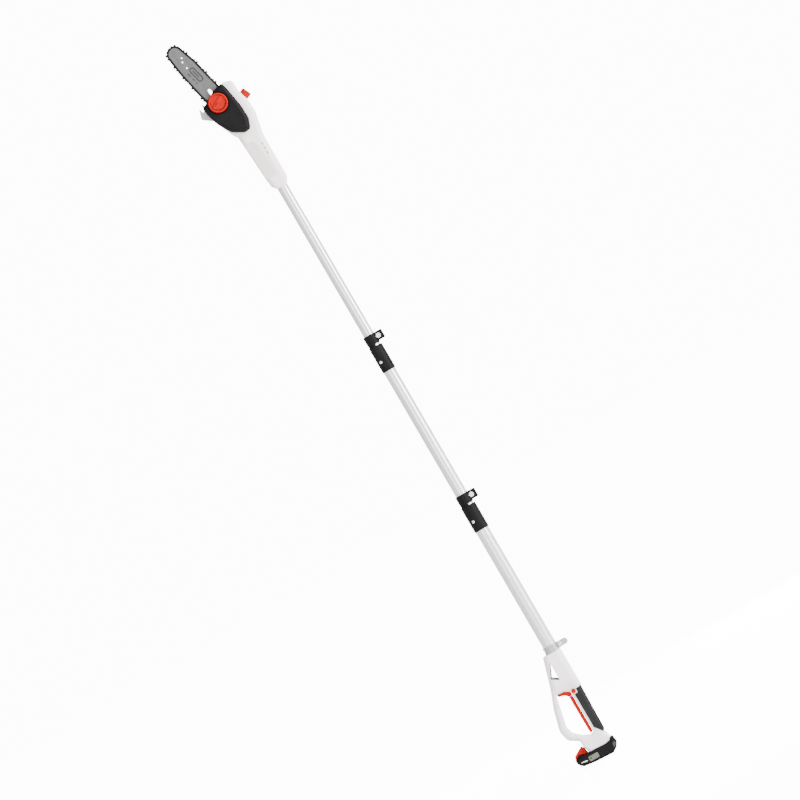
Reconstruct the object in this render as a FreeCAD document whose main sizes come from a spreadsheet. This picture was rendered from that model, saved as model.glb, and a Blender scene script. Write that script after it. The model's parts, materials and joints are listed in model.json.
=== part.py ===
"""Telescoping pole saw: D-handle with battery, three-stage pole and chain saw head.

Frame: +Z runs up the pole towards the saw, +X is the tool's back (soft grip and oil cap),
-Y is the side with the sprocket cover. The origin is the middle of the rear grip.
"""
import FreeCAD, Part
import math
import os
import Sketcher

V = FreeCAD.Vector
X_AXIS, Y_AXIS, Z_AXIS = V(1, 0, 0), V(0, 1, 0), V(0, 0, 1)

DIMENSIONS = {
    # pole
    "wall": 1.2, "lower_r": 19.5, "middle_r": 17.5, "upper_r": 15.5,
    "lower_start": 110, "lower_end": 649.5, "middle_start": 550, "middle_end": 1156,
    "upper_start": 1040, "upper_end": 1740, "bush_length": 36, "bush_gap": 0.1,
    # clamp locks, measured from each lock's bottom end
    "lower_lock_base": 579.5, "upper_lock_base": 1086, "lock_length": 111, "sleeve_length": 77,
    "sleeve_wall": 2.5, "lock_bore_step": 70, "slide_gap": 0.3, "ear_half": 8, "ear_slit": 1.5,
    "bolt_r": 2.5, "lever_pin_r": 2, "lever_pin_y": 13.5, "barrel_r": 5.2, "rivet_r": 2,
    # handle
    "trunk_half": 25, "loop_half": 14.2, "foot_half": 30, "grip_half": 17, "screw_r": 1.6,
    "trigger_half": 9, "trigger_pin_r": 1.5, "lock_button_r": 6, "channel_half": 22.6,
    # battery
    "battery_half": 36, "rail_half": 22, "cell_r": 9, "cell_length": 65,
    # head
    "head_left": 22, "head_right": 28, "motor_half": 26, "motor_r": 18, "shaft_r": 5,
    "bar_outer": -29.7, "bar_inner": -25, "cover_face": -46, "knob_r": 27.5, "knob_face": -60,
    "stud_r": 4, "gear_teeth": 36, "pinion_teeth": 12, "gear_module": 1.3333,
    "sprocket_teeth": 8, "chain_pitch": 9.32, "cap_r": 13, "cap_length": 19,
}

SHAFT_X, SHAFT_Z = -25, 1908          # output shaft and drive sprocket
KNOB_X, KNOB_Z = -37.5, 1956          # bar stud and cover knob
CHAIN_Y = -27.35                      # middle of the chain and bar
MOTOR_TILT = math.degrees(math.atan2(22, 151))   # motor axis leans to meet the output shaft
CAP_ANGLE = 25                        # oil cap axis above +X

doc = FreeCAD.newDocument("telescoping_pole_saw")
sheet = doc.addObject("Spreadsheet::Sheet", "dims")
for row, (alias, value) in enumerate(DIMENSIONS.items(), 1):
    sheet.set(f"A{row}", alias)
    sheet.set(f"B{row}", str(value))
    sheet.setAlias(f"B{row}", alias)
doc.recompute()

nodes = {}
pockets = []


def size(alias):
    return float(sheet.get(alias))


# ---------------------------------------------------------------- outlines

def outline(points):
    """Lines and tangent arcs round a closed outline of (across, up, corner radius) points."""
    edges = []
    for index, (across, up, radius) in enumerate(points):
        corner = V(across, up, 0)
        to_last = (V(*points[index - 1][:2], 0) - corner).normalize()
        to_next = (V(*points[(index + 1) % len(points)][:2], 0) - corner).normalize()
        half_angle = to_last.getAngle(to_next) / 2
        if radius and half_angle < math.pi / 2 - 0.01:
            trim = radius / math.tan(half_angle)
            inward = (to_last + to_next).normalize()
            middle = corner + inward * (radius / math.sin(half_angle) - radius)
            edges.append((corner + to_last * trim, middle, corner + to_next * trim))
        else:
            edges.append((corner, None, corner))
    shapes = []
    for (start, middle, end), following in zip(edges, edges[1:] + edges[:1]):
        if middle is not None:
            shapes.append(Part.Arc(start, middle, end))
        if (following[0] - end).Length > 1e-6:
            shapes.append(Part.LineSegment(end, following[0]))
    return shapes


def box_loop(left, low, right, high, radius=0):
    return outline([(left, low, radius), (right, low, radius),
                    (right, high, radius), (left, high, radius)])


def circle(across, up, radius):
    """A circle whose radius is an expression on the sheet."""
    return (across, up, str(radius))


def ring_sector(inner, outer, first, last):
    """Part of a ring about the origin, between two angles in degrees."""
    def at(radius, angle):
        return V(radius * math.cos(math.radians(angle)), radius * math.sin(math.radians(angle)), 0)
    middle = (first + last) / 2
    return [Part.Arc(at(outer, first), at(outer, middle), at(outer, last)),
            Part.LineSegment(at(outer, last), at(inner, last)),
            Part.Arc(at(inner, last), at(inner, middle), at(inner, first)),
            Part.LineSegment(at(inner, first), at(outer, first))]


# ---------------------------------------------------------------- features

def new_body(label):
    body = doc.addObject("PartDesign::Body", label)
    body.Label = label
    nodes[label] = body
    return body


def extrude(body, role, loops, low, high, cut=False):
    """Pad or pocket between two distances along the plane's own X, Y or Z axis."""
    plane = next(f for f in body.Origin.OriginFeatures if f.Role == role)
    sketch = body.newObject("Sketcher::SketchObject", body.Name + "_sketch")
    sketch.AttachmentSupport = [(plane, "")]
    sketch.MapMode = "FlatFace"
    start = f"-({high})" if role == "XZ_Plane" else f"{low}"
    sketch.setExpression("AttachmentOffset.Base.z", start)
    for loop in loops:
        if isinstance(loop, tuple):
            index = sketch.addGeometry(Part.Circle(V(loop[0], loop[1], 0), Z_AXIS, 1), False)
            constraint = sketch.addConstraint(Sketcher.Constraint("Radius", index, 1))
            sketch.setExpression(f"Constraints[{constraint}]", loop[2])
        else:
            sketch.addGeometry(loop, False)
    kind = "PartDesign::Pocket" if cut else "PartDesign::Pad"
    feature = body.newObject(kind, body.Name + ("_cut" if cut else "_pad"))
    feature.Profile = sketch
    feature.Reversed = cut
    feature.setExpression("Length", f"({high}) - ({low})")
    sketch.Visibility = False
    if cut:
        pockets.append(feature)
    return feature


def across_y(body, loops, low, high, cut=False):
    return extrude(body, "XZ_Plane", loops, low, high, cut)


def along_z(body, loops, low, high, cut=False):
    return extrude(body, "XY_Plane", loops, low, high, cut)


def group(label, shapes):
    """Several like pieces, or one built shape, kept as a single node."""
    feature = doc.addObject("Part::Feature", label)
    feature.Label = label
    feature.Shape = shapes[0] if len(shapes) == 1 else Part.makeCompound(shapes)
    nodes[label] = feature
    return feature


def cut_with(label, base, tools):
    """The named piece is its base with the tool shapes taken out."""
    base.Label = label + "_blank"
    for number, tool in enumerate(tools):
        helper = doc.addObject("Part::Feature", f"{label}_tool{number}")
        helper.Shape = tool
        result = doc.addObject("Part::Cut", f"{label}_part")
        result.Base, result.Tool = base, helper
        base = result
    base.Label = label
    nodes[label] = base
    return base


def rod(radius, start, end):
    """A round bar from one point to another."""
    return Part.makeCylinder(radius, (end - start).Length, start, end - start)


def hex_bar(across_flats, start, end):
    radius = across_flats / math.sqrt(3)
    corners = [V(radius * math.cos(math.radians(60 * i)), radius * math.sin(math.radians(60 * i)), 0)
               for i in range(7)]
    prism = Part.Face(Part.makePolygon(corners)).extrude(V(0, 0, (end - start).Length))
    prism.Placement = FreeCAD.Placement(start, FreeCAD.Rotation(Z_AXIS, end - start))
    return prism


def coil_spring(start, direction, length, radius, wire, turns):
    helix = Part.makeHelix(length / turns, length, radius)
    profile = Part.Wire(Part.makeCircle(wire, V(radius, 0, 0), Y_AXIS))
    spring = Part.Wire(helix).makePipeShell([profile], True, True)
    spring.Placement = FreeCAD.Placement(start, FreeCAD.Rotation(Z_AXIS, direction))
    return spring


# ---------------------------------------------------------------- pole

def make_tubes():
    for name in ("lower", "middle", "upper"):
        tube = new_body(f"{name}_tube")
        along_z(tube, [circle(0, 0, f"dims.{name}_r"), circle(0, 0, f"dims.{name}_r - dims.wall")],
                f"dims.{name}_start", f"dims.{name}_end")
    for name, outside in (("middle", "lower"), ("upper", "middle")):
        bush = new_body(f"{name}_tube_bush")
        along_z(bush, [circle(0, 0, f"dims.{outside}_r - dims.wall - dims.bush_gap"),
                       circle(0, 0, f"dims.{name}_r")],
                f"dims.{name}_start", f"dims.{name}_start + dims.bush_length")


def cam_bolt_set(label, pin_x, middle_z, half_height):
    """Clamp bolt with its nut on the near side and a cross pin for the lever on the far side."""
    ear, pin_y = size("ear_half"), size("lever_pin_y")
    bolt = rod(size("bolt_r"), V(pin_x, -ear - 6, middle_z), V(pin_x, pin_y, middle_z))
    eye = rod(3.6, V(pin_x, pin_y, middle_z - 3), V(pin_x, pin_y, middle_z + 3))
    nut = hex_bar(13, V(pin_x, -ear - 5, middle_z), V(pin_x, -ear, middle_z))
    pin = rod(size("lever_pin_r"), V(pin_x, pin_y, middle_z - half_height),
              V(pin_x, pin_y, middle_z + half_height))
    group(label, [bolt.fuse([eye, pin]), nut.cut(bolt)])


def cam_lever(label, pin_x, low, high, middle_z, arm):
    """A cam barrel on the cross pin, split for the bolt's eye, with an arm loop."""
    lever = new_body(label)
    pin_y = size("lever_pin_y")
    along_z(lever, [circle(pin_x, pin_y, "dims.barrel_r")], low, high)
    along_z(lever, [arm], low, high)
    along_z(lever, [circle(pin_x, pin_y, "dims.barrel_r + 0.8")], middle_z - 3.6, middle_z + 3.6, True)
    along_z(lever, [circle(pin_x, pin_y, "dims.lever_pin_r + 0.05")], low, high, True)


def make_lock(name, sleeve_r, tube, slider, pin_x):
    """One telescoping lock: a sleeve riveted to the tube and a split ring on the sliding tube."""
    base = size(f"{name}_lock_base")
    ring_z, top = base + size("sleeve_length"), base + size("lock_length")
    tab_z, bolt_z = base + 85, base + 98
    right = pin_x + 15.5
    collar = new_body(f"{name}_lock_collar")
    along_z(collar, [circle(0, 0, f"dims.{tube}_r + dims.sleeve_wall")], base, ring_z)
    along_z(collar, [circle(0, 0, f"dims.{slider}_r + dims.sleeve_wall")], ring_z, top)
    across_y(collar, [outline([(8, tab_z, 0), (right, tab_z, 3), (right, top, 3), (8, top, 0)])],
             "-dims.ear_half", "dims.ear_half")
    along_z(collar, [circle(0, 0, f"dims.{tube}_r")], base, f"{base} + dims.lock_bore_step", True)
    along_z(collar, [circle(0, 0, f"dims.{slider}_r + dims.slide_gap")],
            f"{base} + dims.lock_bore_step", top, True)
    across_y(collar, [box_loop(2, ring_z - 1, 40, ring_z + 4)], -30, 30, True)
    across_y(collar, [box_loop(8, ring_z + 3, 50, top + 1)], "-dims.ear_slit", "dims.ear_slit", True)
    across_y(collar, [circle(pin_x, bolt_z, "dims.bolt_r + 0.05")], -12, 12, True)
    across_y(collar, [circle(pin_x, bolt_z, 8.2)], -25, "-dims.ear_half", True)
    rivets = []
    for angle in (120, 240):
        out = V(math.cos(math.radians(angle)), math.sin(math.radians(angle)), 0)
        foot = V(0, 0, base + 30)
        surface = size(f"{tube}_r") + size("sleeve_wall")
        shank = rod(size("rivet_r"), foot + out * (size(f"{tube}_r") - size("wall")),
                    foot + out * surface)
        head = Part.makeSphere(6, foot + out * (surface - 4.4), Z_AXIS)
        head = head.common(rod(8, foot + out * (surface - 0.6), foot + out * (surface + 4)))
        rivets.append(shank.fuse(head))
    group(f"{name}_lock_rivets", rivets)
    cut_with(f"{name}_lock_collar", collar, rivets)
    cut_with(f"{tube}_tube", nodes[f"{tube}_tube"], rivets)
    cam_bolt_set(f"{name}_lock_bolt", pin_x, bolt_z, 12)
    arm = ring_sector(sleeve_r + 1, sleeve_r + 5, 32, 140)
    cam_lever(f"{name}_lock_lever", pin_x, tab_z, top, bolt_z, arm)


def make_pole_clamp():
    """Quick-release collar that holds the pole in the handle."""
    collar = new_body("pole_clamp_collar")
    along_z(collar, [circle(0, 0, 22.5)], 190.4, 210)
    across_y(collar, [box_loop(15, 191, 32, 209, 3)], "-dims.ear_half", "dims.ear_half")
    along_z(collar, [circle(0, 0, 24), circle(0, 0, 21.2)], 197, 204, True)
    along_z(collar, [circle(0, 0, "dims.lower_r")], 190, 211, True)
    across_y(collar, [box_loop(15, 189, 34, 211)], "-dims.ear_slit", "dims.ear_slit", True)
    across_y(collar, [circle(27, 200, "dims.bolt_r + 0.05")], -12, 12, True)
    cam_bolt_set("pole_clamp_bolt", 27, 200, 8)
    arm = outline([(27, 10.5, 0), (52.5, 11, 2.4), (52.5, 16.5, 2.4), (27, 17, 0)])
    cam_lever("pole_clamp_lever", 27, 191, 209, 200, arm)


# ---------------------------------------------------------------- handle

HANDLE_OUTLINE = [
    (-33, 190, 4), (22, 190, 4), (22, 73, 0), (17.2, 73, 0), (14.2, -64, 0), (12, -71, 0),
    (16.5, -73, 0), (20, -88, 3), (13, -96, 5), (-2, -99.4, 0), (-53, -96.6, 2), (-60, -78, 8),
    (-60, -60, 8), (-88, -43, 16), (-96, -12, 30), (-80, 50, 60), (-60, 100, 60)]
HAND_OPENING = [(-53, 82, 3), (-30, 80, 8), (-14, 71, 10), (-14, -54.5, 2), (-24, -59, 5),
                (-44, -49, 12), (-66, -30, 14), (-72.5, -8, 20), (-60, 50, 60)]
TRUNK_OUTLINE = [(-33, 190, 4), (22, 190, 4), (22, 78, 6), (-48, 86, 6), (-64, 92, 3)]
FOOT_OUTLINE = [(-60, -66, 4), (4, -66, 4), (10.5, -73, 2), (16.5, -73, 0), (20, -88, 3), (13, -96, 5),
                (-2, -99.4, 0), (-53, -96.6, 2), (-60, -78, 8)]
STRAP_HOLE = [(-23.5, 172, 1.5), (-45, 127, 2), (-23.5, 114, 2)]
HANDLE_SCREWS = [(-83, -12), (-67, 62), (-47, 104), (-26.5, 181), (-6, -62), (-44, -70)]


def make_handle_half(label, left):
    """One half of the D-handle housing, split at y = 0."""
    shell = new_body(label)

    def reach(amount):
        return (f"-({amount})", "0") if left else ("0", f"{amount}")

    across_y(shell, [outline(HANDLE_OUTLINE)], *reach("dims.loop_half"))
    across_y(shell, [outline(TRUNK_OUTLINE)], *reach("dims.trunk_half"))
    across_y(shell, [outline(FOOT_OUTLINE)], *reach("dims.foot_half"))
    across_y(shell, [outline(HAND_OPENING)], *reach(40), True)
    across_y(shell, [outline(STRAP_HOLE)], *reach(40), True)
    along_z(shell, [circle(0, 0, "dims.lower_r")], "dims.lower_start", 191, True)
    across_y(shell, [box_loop(-11, -48, 10, 98, 2)], *reach(11), True)
    across_y(shell, [box_loop(-15, -55, -5, 62)], *reach("dims.trigger_half + 0.6"), True)
    across_y(shell, [box_loop(-50, -101, 30, -88)], *reach("dims.channel_half"), True)
    across_y(shell, [box_loop(-62, -92, -46, -75)], *reach(12), True)
    across_y(shell, [circle(-54, -82, "dims.trigger_pin_r")], *reach(16), True)
    across_y(shell, [circle(-9, 56, "dims.trigger_pin_r")], *reach(12.5), True)
    for across, up in HANDLE_SCREWS:
        across_y(shell, [circle(across, up, "dims.screw_r")], *reach(9), True)
        if not left:
            across_y(shell, [circle(across, up, "2 * dims.screw_r + 0.4")], 8, 31, True)
    if left:
        across_y(shell, [circle(-6, 69, "dims.lock_button_r + 0.3")], -30, 0, True)


def make_grip_parts():
    grip = new_body("soft_grip")
    across_y(grip, [outline([(3, 72.6, 1), (20, 72.6, 2), (17, -60, 6), (12.4, -70.4, 1),
                             (-8, -45, 4), (-8, 60, 1), (3, 60, 1)])],
             "-dims.grip_half", "dims.grip_half")
    across_y(grip, [outline([(-20, 84, 0), (17.2, 84, 0), (17.2, 73, 0), (14.2, -64, 0),
                             (11.5, -72.5, 0), (-20, -75, 0)])],
             "-dims.loop_half", "dims.loop_half", True)
    trim = new_body("hand_guard_trim")
    across_y(trim, [outline([(-53, 82, 3), (-30, 80, 8), (-14, 71, 10), (-14, 60, 0), (-22.5, 60, 0),
                             (-27, 66.5, 6), (-38, 73.5, 8), (-53.5, 76, 0)])], -12, 12)


def make_trigger_parts():
    trigger = new_body("trigger")
    half = "dims.trigger_half"
    across_y(trigger, [outline([(-22.3, 59, 2), (-14.4, 59, 1), (-14.4, -51, 1), (-19, -53, 2),
                                (-22.3, -49.5, 2)])], f"-{half}", half)
    across_y(trigger, [outline([(-15, 59.5, 2), (-6, 59.5, 3), (-6, 51, 3), (-15, 44, 0)])],
             f"-{half}", half)
    across_y(trigger, [circle(-9, 56, "dims.trigger_pin_r + 0.05")], -12, 12, True)
    pins = {"trigger_pin": (-9, 56, 12.5), "latch_pin": (-54, -82, 16)}
    for name, (across, up, half_length) in pins.items():
        pin = new_body(name)
        across_y(pin, [circle(across, up, "dims.trigger_pin_r")], -half_length, half_length)
    group("trigger_spring", [coil_spring(V(-14, 0, -20), X_AXIS, 23.6, 3, 0.45, 6)])
    module = new_body("switch_module")
    across_y(module, [box_loop(-5, 18, 9.8, 42, 1)], -9, 9)
    button = new_body("lock_off_button")
    across_y(button, [circle(-6, 69, "dims.lock_button_r")], -26.5, -14)
    across_y(button, [circle(-6, 69, "dims.lock_button_r - 3")], -14, -2)
    group("lock_off_spring", [coil_spring(V(-6, -13.6, 69), Y_AXIS, 23.8, 4, 0.4, 6)])
    screws = []
    for across, up in HANDLE_SCREWS:
        shank = rod(size("screw_r"), V(across, -8.5, up), V(across, 8, up))
        screws.append(shank.fuse(rod(2 * size("screw_r"), V(across, 8, up), V(across, 10.4, up))))
    group("handle_screws", screws)


# ---------------------------------------------------------------- battery

CASE_TOP = [(-98.5, -100, 2), (-54, -97.3, 0), (-2, -100.1, 0), (13.4, -96.8, 4), (20.8, -88.6, 1),
            (26, -92, 3), (28, -104, 0), (-98.5, -104, 0)]
CASE_BOTTOM = [(-98.5, -104, 0), (28, -104, 0), (28, -109, 4), (20, -122, 6), (5, -132.4, 8),
               (-50, -129.5, 60), (-86, -124.5, 6), (-97, -112, 5)]
CASE_SCREWS = [(-90, -26), (-90, 26), (18, -26), (18, 26)]


def make_battery():
    upper = new_body("battery_upper_case")
    half = "dims.battery_half"
    across_y(upper, [outline(CASE_TOP)], f"-{half}", half)
    across_y(upper, [box_loop(-38, -101, 10, -88.6, 0)], "-dims.rail_half", "dims.rail_half")
    for blade in (-8, 0, 8):
        across_y(upper, [box_loop(-39, -98, -20, -90)], blade - 1, blade + 1, True)
    lower = new_body("battery_lower_case")
    across_y(lower, [outline(CASE_BOTTOM)], f"-{half}", half)
    across_y(lower, [box_loop(-85, -123.2, 13, -103)], f"3 - {half}", f"{half} - 3", True)
    across_y(lower, [box_loop(-63.5, -122, -33, -107, 3)], f"-{half} - 1", f"1.2 - {half}", True)
    across_y(lower, [circle(-57, -113.5, 2.6)], f"-{half} - 1", f"4 - {half}", True)
    for across, side in CASE_SCREWS:
        along_z(lower, [circle(across, side, "dims.screw_r")], -119, -103, True)
        along_z(lower, [circle(across, side, "2 * dims.screw_r")], -134, -118, True)
        along_z(upper, [circle(across, side, "dims.screw_r")], -105, -101, True)
    cells = []
    for number in range(5):
        centre = -74 + 19 * number
        ends = [V(centre, side * size("cell_length") / 2, -113.8) for side in (-1, 1)]
        cells.append(rod(size("cell_r"), *ends))
    group("battery_cells", cells)
    screws = []
    for across, side in CASE_SCREWS:
        shank = rod(size("screw_r"), V(across, side, -118), V(across, side, -101.5))
        screws.append(shank.fuse(rod(3, V(across, side, -120), V(across, side, -118))))
    group("battery_screws", screws)
    panel = new_body("gauge_panel")
    across_y(panel, [outline([(-63, -121.5, 3), (-33.5, -121.5, 3), (-33.5, -107.5, 3), (-63, -107.5, 3)]),
                     circle(-57, -113.5, 2.4)], "-dims.battery_half", "1.2 - dims.battery_half")
    button = new_body("gauge_button")
    across_y(button, [circle(-57, -113.5, 2.1)], "-dims.battery_half - 0.3", "2 - dims.battery_half")
    latch = new_body("battery_latch")
    across_y(latch, [outline([(-98, -99, 2), (-93, -90, 5), (-80, -82.5, 6), (-66, -74.5, 2),
                              (-61.6, -75, 1), (-61.6, -79, 2), (-55.2, -95, 1), (-62, -96.4, 0)])],
             -18, 18)
    across_y(latch, [outline([(-62, -79, 0), (-50.5, -79, 2), (-50.5, -85, 2), (-60, -88, 0)])],
             -11.4, 11.4)
    across_y(latch, [circle(-54, -82, "dims.trigger_pin_r + 0.05")], -14, 14, True)
    terminals = new_body("handle_terminals")
    across_y(terminals, [box_loop(-50, -96, -41, -88)], -14, 14)
    for blade in (-8, 0, 8):
        across_y(terminals, [box_loop(-42, -96, -24, -92)], blade - 0.4, blade + 0.4)


# ---------------------------------------------------------------- head

HEAD_OUTLINE = [
    (-15, 1670, 3), (15, 1670, 3), (26, 1690, 10), (27, 1822, 30), (42, 1886, 30), (42, 1925, 8),
    (28, 1958, 8), (27, 1992, 10), (4, 2000, 6), (-30, 1986, 5), (-62, 1966, 8), (-74, 1936, 8),
    (-66, 1904, 20), (-48, 1862, 10), (-38, 1846, 5), (-30, 1710, 40), (-27, 1684, 8)]
MOTOR_OUTLINE = [(-15, 1670, 3), (15, 1670, 3), (26, 1690, 10), (27, 1828, 12), (0, 1846, 8),
                 (-37.5, 1838, 8), (-30, 1710, 40), (-27, 1684, 8)]
COVER_OUTLINE = [(-82, 1962, 5), (-60, 1976, 20), (-33, 1991, 20), (-3, 1999, 5), (2, 1985, 20),
                 (13, 1925, 30), (15.5, 1880, 30), (4, 1851, 6), (-14, 1849, 10), (-47, 1868, 20),
                 (-70, 1908, 40), (-80, 1942, 20)]
HOOK_OUTLINE = [(-64, 1912, 2), (-100, 1939, 3), (-98, 1947, 2), (-91, 1970, 1.5), (-87, 1956, 2),
                (-83, 1954, 2), (-78, 1977, 1.5), (-68, 1956, 2)]
TANK_OUTLINE = [(-26, 1951, 3), (8, 1951, 3), (14, 1932, 3), (25, 1930, 2), (25, 1945, 4),
                (23, 1987, 5), (-26, 1982, 4)]
HEAD_SCREWS = [(-22, 1696), (19, 1696), (22, 1838), (-32, 1836), (31, 1900), (-60, 1946)]


def cap_point(along, out=0):
    """A point on the oil cap's axis, given from the cap's base."""
    angle = math.radians(CAP_ANGLE)
    return V(31, 0, 1938.8) + V(math.cos(angle), 0, math.sin(angle)) * along + V(0, out, 0)


def motor_point(below):
    """A point on the motor axis, given as the distance below the output shaft."""
    angle = math.radians(MOTOR_TILT)
    return V(SHAFT_X, 0, SHAFT_Z) + V(math.sin(angle), 0, -math.cos(angle)) * below


def make_head_half(label, left):
    shell = new_body(label)

    def reach(amount):
        return (f"-({amount})", "0") if left else ("0", f"{amount}")

    across_y(shell, [outline(HEAD_OUTLINE)], *reach("dims.head_left" if left else "dims.head_right"))
    across_y(shell, [outline(MOTOR_OUTLINE)], *reach("dims.motor_half"))
    if left:
        across_y(shell, [outline([(-56, 1938, 8), (-22, 1938, 8), (-24, 1976, 8), (-54, 1972, 8)])],
                 "dims.bar_inner", "-dims.head_left")
    along_z(shell, [circle(0, 0, "dims.upper_r")], 1669, "dims.upper_end", True)
    across_y(shell, [outline([(-26, 1746, 4), (22, 1746, 4), (22, 1826, 4), (-30, 1826, 4)])],
             *reach("dims.motor_half - 3"), True)
    across_y(shell, [outline([(-27, 1746, 4), (22, 1746, 4), (22, 1800, 4), (2, 1872, 4),
                              (3, 1937, 4), (-54, 1937, 6), (-54, 1880, 6), (-32, 1846, 6)])],
             *reach(19), True)
    across_y(shell, [outline(TANK_OUTLINE)], *reach(16), True)
    if left:
        across_y(shell, [circle(SHAFT_X, SHAFT_Z, 9)], -23, 0, True)
        across_y(shell, [circle(KNOB_X, KNOB_Z, "dims.stud_r")], -26, 0, True)
        across_y(shell, [outline(HOOK_OUTLINE)], -21.5, -15.5, True)
    else:
        across_y(shell, [circle(SHAFT_X, SHAFT_Z, 9)], 0, 25, True)
    for across, up in HEAD_SCREWS:
        across_y(shell, [circle(across, up, "dims.screw_r")], *reach(9), True)
        if not left:
            across_y(shell, [circle(across, up, "2 * dims.screw_r + 0.4")], 8, 31, True)
    seat = rod(size("cap_r") + 1.8, cap_point(0), cap_point(30))
    neck = rod(7.5, cap_point(-12), cap_point(1))
    cut_with(label, shell, [seat, neck])


def make_head_fittings():
    screws = []
    for across, up in HEAD_SCREWS:
        shank = rod(size("screw_r"), V(across, -8.5, up), V(across, 8, up))
        screws.append(shank.fuse(rod(2 * size("screw_r"), V(across, 8, up), V(across, 10.4, up))))
    group("head_screws", screws)
    hook = new_body("branch_hook")
    across_y(hook, [outline(HOOK_OUTLINE)], -21.5, -15.5)
    tank = Part.Face(Part.Wire([edge.toShape() for edge in outline(TANK_OUTLINE)]))
    tank.rotate(V(), X_AXIS, 90)
    body = tank.translated(V(0, 16, 0)).extrude(V(0, -32, 0))
    inner = tank.makeOffset2D(-2).translated(V(0, 14, 0)).extrude(V(0, -28, 0))
    neck = rod(7.5, cap_point(-12), cap_point(7))
    bore = rod(5.5, cap_point(-16), cap_point(8))
    group("oil_tank", [body.fuse(neck).cut(inner).cut(bore)])
    cap = rod(size("cap_r"), cap_point(0.6), cap_point(size("cap_length")))
    cap = cap.cut(rod(7.8, cap_point(0), cap_point(8)))
    ribs = []
    for number in range(12):
        rib = rod(1.2, cap_point(2, size("cap_r")), cap_point(size("cap_length") - 2, size("cap_r")))
        ribs.append(rib.rotated(cap_point(0), cap_point(1) - cap_point(0), 30 * number))
    group("oil_cap", [cap.fuse(ribs)])


def bevel_gear(teeth, pitch_r, apex_distance, bore, hub, phase):
    """Straight bevel gear about +Z with its cone apex at the origin and its large end above."""
    module = size("gear_module")
    cone = math.hypot(pitch_r, apex_distance)
    normal = (apex_distance / cone, -pitch_r / cone)
    inner = 0.68

    def profile(depth, half_width):
        radius, height = pitch_r + normal[0] * depth, apex_distance + normal[1] * depth
        return [V(radius, -half_width, height), V(radius, half_width, height)]

    ring = profile(-1.4 * module, 1.0 * module)
    crown = profile(0.75 * module, 0.3 * module)
    corners = [ring[0], ring[1], crown[1], crown[0], ring[0]]
    wires = [Part.makePolygon([corner * scale for corner in corners]) for scale in (1, inner)]
    tooth = Part.makeLoft(wires, True, True)
    root_r, root_z = ring[0].x + 0.4 * normal[0], ring[0].z + 0.4 * normal[1]
    rim = [V(bore, 0, root_z * inner), V(root_r * inner, 0, root_z * inner), V(root_r, 0, root_z),
           V(root_r - 0.5, 0, root_z + hub), V(bore, 0, root_z + hub)]
    core = Part.Face(Part.makePolygon(rim + rim[:1])).revolve(V(), Z_AXIS, 360)
    cut = [tooth.rotated(V(), Z_AXIS, phase + 360 * n / teeth) for n in range(teeth)]
    return core.fuse(cut)


def make_drive():
    gear_r = size("gear_module") * size("gear_teeth") / 2
    pinion_r = size("gear_module") * size("pinion_teeth") / 2
    centre = V(SHAFT_X, 0, SHAFT_Z)
    shaft_r = size("shaft_r")
    gear = bevel_gear(int(size("gear_teeth")), gear_r, pinion_r, shaft_r, 4, 0)
    down = motor_point(1) - centre
    across = Y_AXIS.cross(down)
    gear.Placement = FreeCAD.Placement(centre, FreeCAD.Rotation(down, across, Y_AXIS, "ZXY"))
    group("bevel_gear", [gear])
    pinion = bevel_gear(int(size("pinion_teeth")), pinion_r, gear_r, 2.5, 5, 15)
    pinion.Placement = FreeCAD.Placement(centre, FreeCAD.Rotation(Y_AXIS, across * -1, down, "ZXY"))
    group("bevel_pinion", [pinion])
    shaft = new_body("output_shaft")
    across_y(shaft, [circle(SHAFT_X, SHAFT_Z, "dims.shaft_r")], -34, 24)
    bearings = []
    for low, high in ((-21, -14), (17, 24)):
        ring = rod(9, V(SHAFT_X, low, SHAFT_Z), V(SHAFT_X, high, SHAFT_Z))
        bearings.append(ring.cut(rod(shaft_r + 0.05, V(SHAFT_X, -30, SHAFT_Z), V(SHAFT_X, 30, SHAFT_Z))))
    group("shaft_bearings", bearings)
    can = rod(size("motor_r"), motor_point(152), motor_point(92))
    can = can.cut(rod(size("motor_r") - 1.5, motor_point(150), motor_point(96)))
    group("motor_can", [can.cut(rod(2.55, motor_point(153), motor_point(90)))])
    rotor = rod(2.5, motor_point(152), motor_point(17))
    armature = rod(12, motor_point(145), motor_point(104))
    group("motor_rotor", [rotor.fuse(armature)])
    make_sprocket()


def sprocket_pitch_r():
    return size("sprocket_teeth") * 2 * size("chain_pitch") / (2 * math.pi)


def make_sprocket():
    """Star sprocket; its teeth sit between the drive links' tangs."""
    teeth = int(size("sprocket_teeth"))
    pitch_r = sprocket_pitch_r()
    rivets, _ = chain_rivet_line()
    tangs = [(first + second) / 2 for first, second in zip(rivets[0::2], rivets[1::2])]
    lowest = min(tangs, key=lambda point: point.z)
    phase = 90 - math.degrees(math.atan2(lowest.z - SHAFT_Z, lowest.x - SHAFT_X))
    disc = rod(pitch_r - 8, V(SHAFT_X, -29.4, SHAFT_Z), V(SHAFT_X, -25.3, SHAFT_Z))
    half = Part.makePolygon([V(-3, 0, 12), V(-2, 0, pitch_r - 1.5), V(2, 0, pitch_r - 1.5),
                             V(3, 0, 12), V(-3, 0, 12)])
    blank = Part.Face(half).extrude(V(0, 1.1, 0))
    blank.translate(V(SHAFT_X, CHAIN_Y - 0.55, SHAFT_Z))
    cogs = [blank.rotated(V(SHAFT_X, 0, SHAFT_Z), Y_AXIS, phase + 360 * (n + 0.5) / teeth)
            for n in range(teeth)]
    bore = rod(size("shaft_r"), V(SHAFT_X, -35, SHAFT_Z), V(SHAFT_X, -20, SHAFT_Z))
    group("drive_sprocket", [disc.fuse(cogs).cut(bore)])


# ---------------------------------------------------------------- bar and chain

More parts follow.
